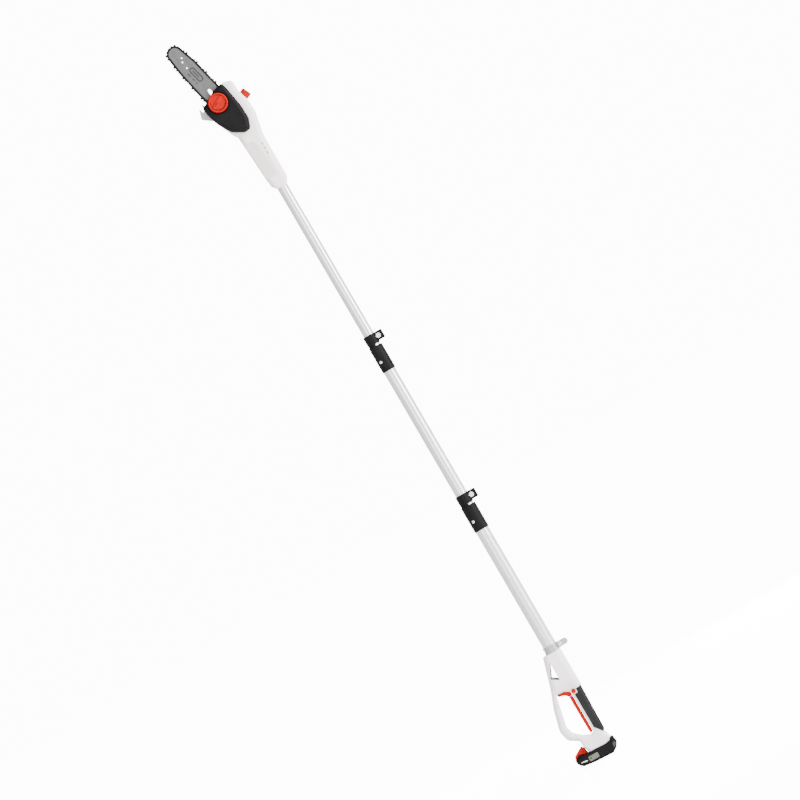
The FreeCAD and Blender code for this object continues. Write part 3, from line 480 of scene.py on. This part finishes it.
def head_thickness(side):
    upper = 22 if side < 0 else 28

    def thickness(points):
        x, z = points[:, 0], points[:, 1]
        body = 26 + (upper - 26) * smooth_step(z, 1822, 1850)
        left = -24.5 - 0.035 * (z - 1700)
        panel = (smooth_step(z, 1702, 1705) * smooth_step(-z, -1824, -1820)
                 * smooth_step(x, left, left + 2.5) * smooth_step(-x, -8, -5.5))
        return body - 0.9 * panel
    return thickness


def make_head():
    for side, name in ((-1, "left"), (1, "right")):
        holes = [screw_well(centre, 10) for centre in HEAD_SCREWS] if side > 0 else []
        shell = moulded(f"head_housing_{name}", HEAD_OUTER, holes, head_thickness(side), side)
        place(shell, "saw_head", "housing", replaces=[f"head_shell_{name}"])


COVER_OUTER = [
    (-82, 1962, 5, 9, 11), (-60, 1976, 20, 9, 11), (-33, 1991, 20, 9, 11), (-3, 1999, 5, 9, 0),
    (2, 1985, 20, 11, 0), (13, 1925, 30, 13, 0), (15.5, 1880, 30, 14, 0), (4, 1851, 6, 14, 0),
    (-14, 1849, 10, 14, 0), (-47, 1868, 20, 13, 0), (-70, 1908, 40, 11, 0), (-80, 1942, 20, 9, 0)]
KNOB = (-37.5, 1956)


def make_cover():
    def thickness(points):
        x, z = points[:, 0], points[:, 1]
        from_knob = np.hypot(x - KNOB[0], z - KNOB[1])
        dish = 1.6 * smooth_step(-from_knob, -31.5, -29.5)
        crown = 2.2 * smooth_step(-z, -1935, -1862)
        return 23.9 - dish - crown

    hub_hole = round_hole(KNOB, 10.4, 15, 0.5, 20)
    cover = moulded("cover_moulding", COVER_OUTER, [hub_hole], thickness, -1, base=-22.1, grid=2.2)
    place(cover, "saw_head", "black_plastic", replaces=["sprocket_cover"])


def lathe(name, profile, turns=96, lobes=0, lobe_depth=0.0):
    """A turned piece about +Z: the profile is (radius, height) and lobes scallop its outer rim."""
    mesh = bmesh.new()
    rings = []
    outer = max(radius for radius, _ in profile)
    for radius, height in profile:
        ring = []
        for k in range(turns):
            angle = 2 * math.pi * k / turns
            dent = lobe_depth * max(0, math.cos(lobes * angle)) ** 2 * (radius / outer) ** 8 if lobes else 0
            r = radius - dent
            ring.append(mesh.verts.new((r * math.cos(angle) * MM, r * math.sin(angle) * MM, height * MM)))
        rings.append(ring)
    for lower, upper in zip(rings, rings[1:]):
        for k in range(turns):
            following = (k + 1) % turns
            mesh.faces.new((lower[k], lower[following], upper[following], upper[k]))
    mesh.faces.new(rings[0][::-1])
    mesh.faces.new(rings[-1])
    bmesh.ops.recalc_face_normals(mesh, faces=mesh.faces)
    return finish_mesh(name, mesh)


def prism(name, outline, low, high, bevel=0.3):
    """A flat piece in the x-z plane between two y heights, with softened edges."""
    rows = trace([(x, z, r, 1, 0) for x, z, r in outline], 1.2)[:, :2]
    mesh = bmesh.new()
    base = [mesh.verts.new((x * MM, low * MM, z * MM)) for x, z in rows]
    cap = [mesh.verts.new((x * MM, high * MM, z * MM)) for x, z in rows]
    mesh.faces.new(base)
    mesh.faces.new(cap[::-1])
    for k in range(len(rows)):
        following = (k + 1) % len(rows)
        mesh.faces.new((base[k], cap[k], cap[following], base[following]))
    bmesh.ops.recalc_face_normals(mesh, faces=mesh.faces)
    piece = finish_mesh(name, mesh)
    if bevel:
        modifier = piece.modifiers.new("edges", "BEVEL")
        modifier.width = bevel * MM
        modifier.segments = 3
        modifier.limit_method = "ANGLE"
        modifier.harden_normals = True
    return piece


def turned(points, angle, centre):
    """Outline points turned about a centre, with their corner radii kept."""
    c, s = math.cos(math.radians(angle)), math.sin(math.radians(angle))
    return [(centre[0] + c * x - s * z, centre[1] + s * x + c * z, r) for x, z, r in points]


def make_knob():
    """Round tensioning knob with a raised rim, a dished face and a folded finger bar."""
    profile = [(4.1, 0.4), (9.8, 0.4), (9.8, -13), (26.3, -13), (27.1, -13.6), (27.5, -14.8),
               (27.5, -23), (27.0, -25), (25.9, -26.3), (24.6, -26.6), (23.4, -26.2), (22.8, -25.2),
               (22.6, -23.9), (21.6, -23.2), (12, -22.9), (4.1, -22.9)]
    body = lathe("knob_turning", [(r, -height) for r, height in profile], lobes=24, lobe_depth=0.7)
    body.data.transform(Matrix.Rotation(math.radians(90), 4, "X"))
    body.data.transform(Matrix.Translation((KNOB[0] * MM, -33 * MM, KNOB[1] * MM)))
    sharp_edges(body, 50)
    place(body, "cover_knob", "orange_plastic", replaces=["cover_knob"])
    bar = [(-20.5, -6.5, 5.5), (20.5, -6.5, 5.5), (20.5, 6.5, 5.5), (-20.5, 6.5, 5.5)]
    grip = prism("knob_finger_bar", turned(bar, 30, KNOB), -59.2, -55.4, 1.2)
    place(grip, "cover_knob", "orange_plastic")
    # A crescent of painted shade inside the rim, on the left and lower side.
    arc = [(KNOB[0] + r * math.cos(a), KNOB[1] + r * math.sin(a), 0)
           for r, steps in ((22.4, range(150, 331, 6)), (18.6, range(330, 149, -6)))
           for a in np.radians(list(steps))]
    place(prism("knob_shade", arc, -56.2, -55.6, 0), "cover_knob", "orange_plastic",
          finish=SHADOW_ORANGE)
    # The finger slot is a thin dark sheet: painted shade in the recess.
    slot = [(-15, -1.6, 1.5), (-2, -1.6, 1.5), (-2, 1.6, 1.5), (-15, 1.6, 1.5)]
    notch = prism("knob_slot", turned(slot, 35, (KNOB[0], KNOB[1] + 3)), -59.35, -58.8, 0.1)
    place(notch, "cover_knob", "orange_plastic", finish=SHADOW_ORANGE)


# ---------------------------------------------------------------- printed and small details

MARK_LOW, MARK_TOP = -29.66, -29.82   # just inside and just proud of the bar's near face
BAR_LEAN = 13.4                       # degrees that the bar leans from upright
BAR_BADGE = (-50, 2054)


def strip(length, width, radius):
    return [(-width / 2, -length / 2, radius), (width / 2, -length / 2, radius),
            (width / 2, length / 2, radius), (-width / 2, length / 2, radius)]


def evenly(outline, count):
    """Points at even spacing round an outline."""
    rows = trace([(x, z, r, 1, 0) for x, z, r in outline], 1.2)[:, :2]
    closed = np.vstack([rows, rows[:1]])
    lengths = np.r_[0, np.cumsum(np.linalg.norm(np.diff(closed, axis=0), axis=1))]
    at = np.linspace(0, lengths[-1], count, endpoint=False)
    return list(zip(np.interp(at, lengths, closed[:, 0]), np.interp(at, lengths, closed[:, 1])))


def make_badge_ring(length=48, width=17, wall=3.5, count=72):
    """A plain capsule outline etched on the bar."""
    outer = strip(length, width, width / 2 - 0.1)
    across, along = (width - 2 * wall) / width, (length - 2 * wall) / length
    inner = [(x * across, z * along, r - wall) for x, z, r in outer]
    mesh = bmesh.new()
    loops = []
    for corners in (outer, inner):
        spots = evenly(turned(corners, BAR_LEAN, BAR_BADGE), count)
        loops.append([[mesh.verts.new((x * MM, y * MM, z * MM)) for x, z in spots]
                      for y in (MARK_LOW, MARK_TOP)])
    (outer_low, outer_top), (inner_low, inner_top) = loops
    for k in range(count):
        n = (k + 1) % count
        mesh.faces.new((outer_top[k], outer_top[n], inner_top[n], inner_top[k]))
        mesh.faces.new((outer_low[k], outer_low[n], outer_top[n], outer_top[k]))
        mesh.faces.new((inner_low[k], inner_low[n], inner_top[n], inner_top[k]))
        mesh.faces.new((outer_low[k], outer_low[n], inner_low[n], inner_low[k]))
    bmesh.ops.recalc_face_normals(mesh, faces=mesh.faces)
    place(finish_mesh("bar_etched_capsule", mesh, False), "saw_head", "bar_steel", finish=DARK_INK)


def make_bar_marks():
    """A plain capsule with a line inside it, and three dashes, etched on the bar's near face."""
    make_badge_ring()
    core = [(-1.6, -11, 1.5), (1.6, -11, 1.5), (1.6, 14, 1.5), (-1.6, 14, 1.5)]
    place(prism("bar_etched_line", turned(core, BAR_LEAN, BAR_BADGE), MARK_TOP, MARK_LOW, 0), "saw_head",
          "bar_steel", finish=DARK_INK)
    for number, (z, length) in enumerate([(2061, 13), (2045, 8), (2034, 6)]):
        spot = (-62 - 0.24 * (z - 2040), z)
        dash = turned(strip(length, 3, 1.4), BAR_LEAN, spot)
        place(prism(f"bar_etched_dash_{number}", dash, MARK_TOP, MARK_LOW, 0), "saw_head", "bar_steel",
              finish=DARK_INK)


def make_trigger():
    paddle = [(-25.0, 59.4, 1), (-14.4, 59.4, 1), (-14.4, -51, 1), (-19, -55, 2), (-24, -52, 2),
              (-24.8, -20, 60), (-25.1, 30, 60)]
    place(prism("trigger_paddle", paddle, -9, 9, 1.2), "trigger", "orange_plastic",
          replaces=["trigger"])


def make_guard_trim():
    trim = [(-51.6, 80.5, 1), (-45, 83, 3), (-30, 81, 10), (-14.6, 73, 8), (-14.4, 60.2, 1),
            (-25.4, 60.2, 1), (-27, 64.0, 6), (-35, 70.5, 8), (-50.5, 74.5, 2)]
    place(prism("guard_trim_strip", trim, -9.6, 9.6, 1.0), "handle", "orange_plastic",
          replaces=["hand_guard_trim"])


BAR_ROUNDS = [(-73, 2131.5, 17.1), (-60.5, 2080, 22.4), (-42, 1998, 23.2), (-34, 1954, 15),
              (-42, 1998, 23.2), (-60.5, 2080, 22.4)]


def belt(rounds, growth):
    """Points of a belt laid round circles (x, z, radius), each one grown by the same amount."""
    normals = []
    for (ax, az, ar), (bx, bz, br) in zip(rounds, rounds[1:] + rounds[:1]):
        reach = math.hypot(bx - ax, bz - az)
        normals.append(math.atan2(bz - az, bx - ax) + math.acos((ar - br) / reach))
    points = []
    for (x, z, radius), first, last in zip(rounds, normals[-1:] + normals[:-1], normals):
        sweep = (first - last + math.pi) % (2 * math.pi) - math.pi
        sweep = sweep + 2 * math.pi if sweep < -0.5 else sweep
        for k in range(25):
            angle = first - sweep * k / 24
            points.append((x + (radius + growth) * math.cos(angle),
                           z + (radius + growth) * math.sin(angle)))
    return points


def make_chain_web():
    """A dark strip in the bar's groove that fills the gap seen under the straps."""
    mesh = bmesh.new()
    rings = [[mesh.verts.new((x * MM, y * MM, z * MM)) for x, z in belt(BAR_ROUNDS, growth)]
             for growth, y in ((-1.0, -28.0), (2.6, -28.0), (2.6, -26.8), (-1.0, -26.8))]
    for ring, after in zip(rings, rings[1:] + rings[:1]):
        for k in range(len(ring)):
            n = (k + 1) % len(ring)
            mesh.faces.new((ring[k], ring[n], after[n], after[k]))
    bmesh.ops.remove_doubles(mesh, verts=mesh.verts, dist=2e-6)
    bmesh.ops.recalc_face_normals(mesh, faces=mesh.faces)
    place(finish_mesh("chain_web", mesh, False), "saw_head", "chain_steel")


def make_strap_liner():
    """Drafted inner walls on the low and outer sides of the strap hole, in both halves, drawn grey as
    painted shade inside the hole.
    """
    mouth = [(-24.0, 170.5), (-43.8, 127.6), (-24.0, 115.4)]
    throat = [(-24.0, 163.5), (-38.6, 130.4), (-24.0, 121.2)]
    mesh = bmesh.new()
    for side in (-1, 1):
        rows = [[mesh.verts.new((x * MM, side * y * MM, z * MM)) for x, z in ring]
                for ring, y in ((mouth, 22.5), (throat, 6.5))]
        for first, second in ((0, 1), (1, 2)):
            mesh.faces.new((rows[0][first], rows[0][second], rows[1][second], rows[1][first]))
    bmesh.ops.recalc_face_normals(mesh, faces=mesh.faces)
    liner = finish_mesh("strap_hole_liner", mesh, False)
    wall = liner.modifiers.new("wall", "SOLIDIFY")
    wall.thickness = 0.6 * MM
    wall.offset = 0
    # The liner's grey is painted shade on the hole's inner walls.
    place(liner, "handle", "housing", finish=GREY_INK_AND_SHADE)


def make_head_panel():
    left = [(-33.5, 1818, 4), (-26.5, 1712, 30), (-24.5, 1705, 4), (5.5, 1705, 6), (3.5, 1760, 40),
            (-1.5, 1812, 10), (-12, 1819, 8)]
    place(prism("head_side_panel", left, -25.75, -25.0, 0.35), "saw_head", "housing",
          finish=ROSE_WHITE)


def make_battery_pad():
    pad = [(13.5, -107.5, 2), (21, -104.5, 2), (24.5, -109, 2), (16.5, -120, 2), (12.5, -118, 2)]
    # A paler black patch on the battery's +X end.
    place(prism("battery_end_pad", pad, -36.0, -34.5, 0.5), "battery", "black_plastic",
          finish=PALER_BLACK)


def make_clamp_lever():
    arm = [(21, 191.5, 3), (47, 191, 8.5), (52.6, 200, 8.5), (47, 209, 8.5), (21, 208.5, 3)]
    lever = prism("clamp_lever_arm", arm, 8.4, 18.6, 2.4)
    place(lever, "pole_clamp_lever", "clamp_metal", replaces=["pole_clamp_lever"])


def make_latch_pad():
    pad = [(-94.5, -98.6, 1), (-83, -90.8, 3), (-75, -91.6, 3), (-65.5, -96.4, 1)]
    place(prism("latch_thumb_pad", pad, -19.6, -17.6, 0.8), "battery_latch", "black_plastic")


def make_small_marks():
    for number in range(3):
        z = 1771 + 14 * number
        mark = [(10.5, z - 4, 1), (13.5, z - 4, 1), (13.5, z + 4, 1), (10.5, z + 4, 1)]
        place(prism(f"head_level_mark_{number}", mark, -26.06, -25.8, 0), "saw_head", "housing",
              finish=GREY_INK_AND_SHADE)
    stripe = [(-87, -113.6, 1), (-68, -116.4, 1), (-68, -113.6, 1), (-87, -110.9, 1)]
    place(prism("battery_stripe", stripe, -36.12, -35.0, 0), "battery", "gauge_panel", finish=WHITE_INK)
    for number in range(3):
        x = -49.5 + 5 * number
        lamp = [(x - 1.3, -115.5, 1.2), (x + 1.3, -115.5, 1.2), (x + 1.3, -112.9, 1.2),
                (x - 1.3, -112.9, 1.2)]
        place(prism(f"gauge_lamp_{number}", lamp, -36.12, -35.8, 0.1), "battery", "gauge_panel")


# ---------------------------------------------------------------- stage, lights and camera

SKY_FILL, SKY_SHEEN, SKY_SEEN = 2.6, 1.1, 13.0   # what lights, what reflects and what is seen
FLOOR_GLOW = 11.0
PHOTO_SPAN = 2.2          # metres across the frame at the tool
LENS_DISTANCE = 24.0
LOOK_AT = Vector((-0.016, 0, 1.0))
POLE_ANGLE = math.radians(59.8)   # the pole's slope in the frame


def make_stage():
    mesh = bmesh.new()
    reach = 60
    corners = [mesh.verts.new((x, y, cad_low.z - 0.002))
               for x, y in ((-reach, -reach), (reach, -reach), (reach, reach), (-reach, reach))]
    mesh.faces.new(corners)
    floor = finish_mesh("floor", mesh, False)
    finish = grainy("pale_floor", (0.93, 0.93, 0.93), 0.7, grain=60, bump=0.01, shift=0.004, shine=0.05)
    finish.node_tree.nodes["Principled BSDF"].inputs["Emission Color"].default_value = (1, 1, 1, 1)
    finish.node_tree.nodes["Principled BSDF"].inputs["Emission Strength"].default_value = FLOOR_GLOW
    floor.data.materials.append(finish)
    own_light = bpy.data.collections.new("floor_only")   # the floor's glow stays on the floor
    own_light.objects.link(floor)
    floor.light_linking.receiver_collection = own_light
    world = bpy.data.worlds.new("studio")
    bpy.context.scene.world = world
    world.use_nodes = True
    nodes, links = world.node_tree.nodes, world.node_tree.links
    path = nodes.new("ShaderNodeLightPath")
    where, split = nodes.new("ShaderNodeTexCoord"), nodes.new("ShaderNodeSeparateXYZ")
    side = nodes.new("ShaderNodeMapRange")            # the +X side of the studio is the bright one
    side.inputs["From Min"].default_value = -1
    side.inputs["To Min"].default_value = 0.25 * SKY_FILL
    side.inputs["To Max"].default_value = 1.75 * SKY_FILL
    links.new(where.outputs["Generated"], split.inputs["Vector"])
    links.new(split.outputs["X"], side.inputs["Value"])
    links.new(side.outputs["Result"], nodes["Background"].inputs["Strength"])
    shades = [nodes["Background"], nodes.new("ShaderNodeBackground"), nodes.new("ShaderNodeBackground")]
    for shade, strength in zip(shades, (SKY_FILL, SKY_SHEEN, SKY_SEEN)):
        shade.inputs["Color"].default_value = (1, 1, 1, 1)
        shade.inputs["Strength"].default_value = strength
    sheen, seen = nodes.new("ShaderNodeMixShader"), nodes.new("ShaderNodeMixShader")
    links.new(path.outputs["Is Glossy Ray"], sheen.inputs["Fac"])
    links.new(shades[0].outputs["Background"], sheen.inputs[1])
    links.new(shades[1].outputs["Background"], sheen.inputs[2])
    links.new(path.outputs["Is Camera Ray"], seen.inputs["Fac"])
    links.new(sheen.outputs["Shader"], seen.inputs[1])
    links.new(shades[2].outputs["Background"], seen.inputs[2])
    links.new(seen.outputs["Shader"], nodes["World Output"].inputs["Surface"])


def area_light(name, spot, target, width, height, power):
    data = bpy.data.lights.new(name, "AREA")
    data.shape = "RECTANGLE"
    data.size, data.size_y = width, height
    data.energy = power
    light = bpy.data.objects.new(name, data)
    light.location = spot
    light.rotation_euler = (Vector(target) - Vector(spot)).to_track_quat("-Z", "Y").to_euler()
    light.visible_camera = False
    bpy.context.scene.collection.objects.link(light)


def make_lights():
    area_light("key", (3.4, -2.2, 2.2), (0, 0, 1.1), 1.6, 3.4, 420)
    area_light("front", (-0.8, -4.0, 1.8), (0, 0, 1.0), 1.5, 3.0, 90)
    area_light("rear", (1.5, 3.6, 2.0), (0, 0, 1.0), 2.0, 3.4, 260)


def make_camera():
    data = bpy.data.cameras.new("camera")
    data.sensor_width = 36
    data.lens = 36 * LENS_DISTANCE / PHOTO_SPAN
    data.clip_end = 200
    camera = bpy.data.objects.new("camera", data)
    right = Vector((math.sin(POLE_ANGLE), 0, -math.cos(POLE_ANGLE)))
    up = Vector((math.cos(POLE_ANGLE), 0, math.sin(POLE_ANGLE)))
    towards_eye = Vector((0, -1, 0))
    turn = Matrix((right, up, towards_eye)).transposed().to_4x4()
    camera.matrix_world = Matrix.Translation(LOOK_AT + towards_eye * LENS_DISTANCE) @ turn
    bpy.context.scene.collection.objects.link(camera)
    bpy.context.scene.camera = camera


dress_cad_nodes()
make_handle()
make_soft_grip()
make_battery()
make_head()
make_cover()
make_knob()
make_bar_marks()
make_small_marks()
make_trigger()
make_guard_trim()
make_chain_web()
make_strap_liner()
make_head_panel()
make_battery_pad()
make_clamp_lever()
make_latch_pad()
make_stage()
make_lights()
make_camera()
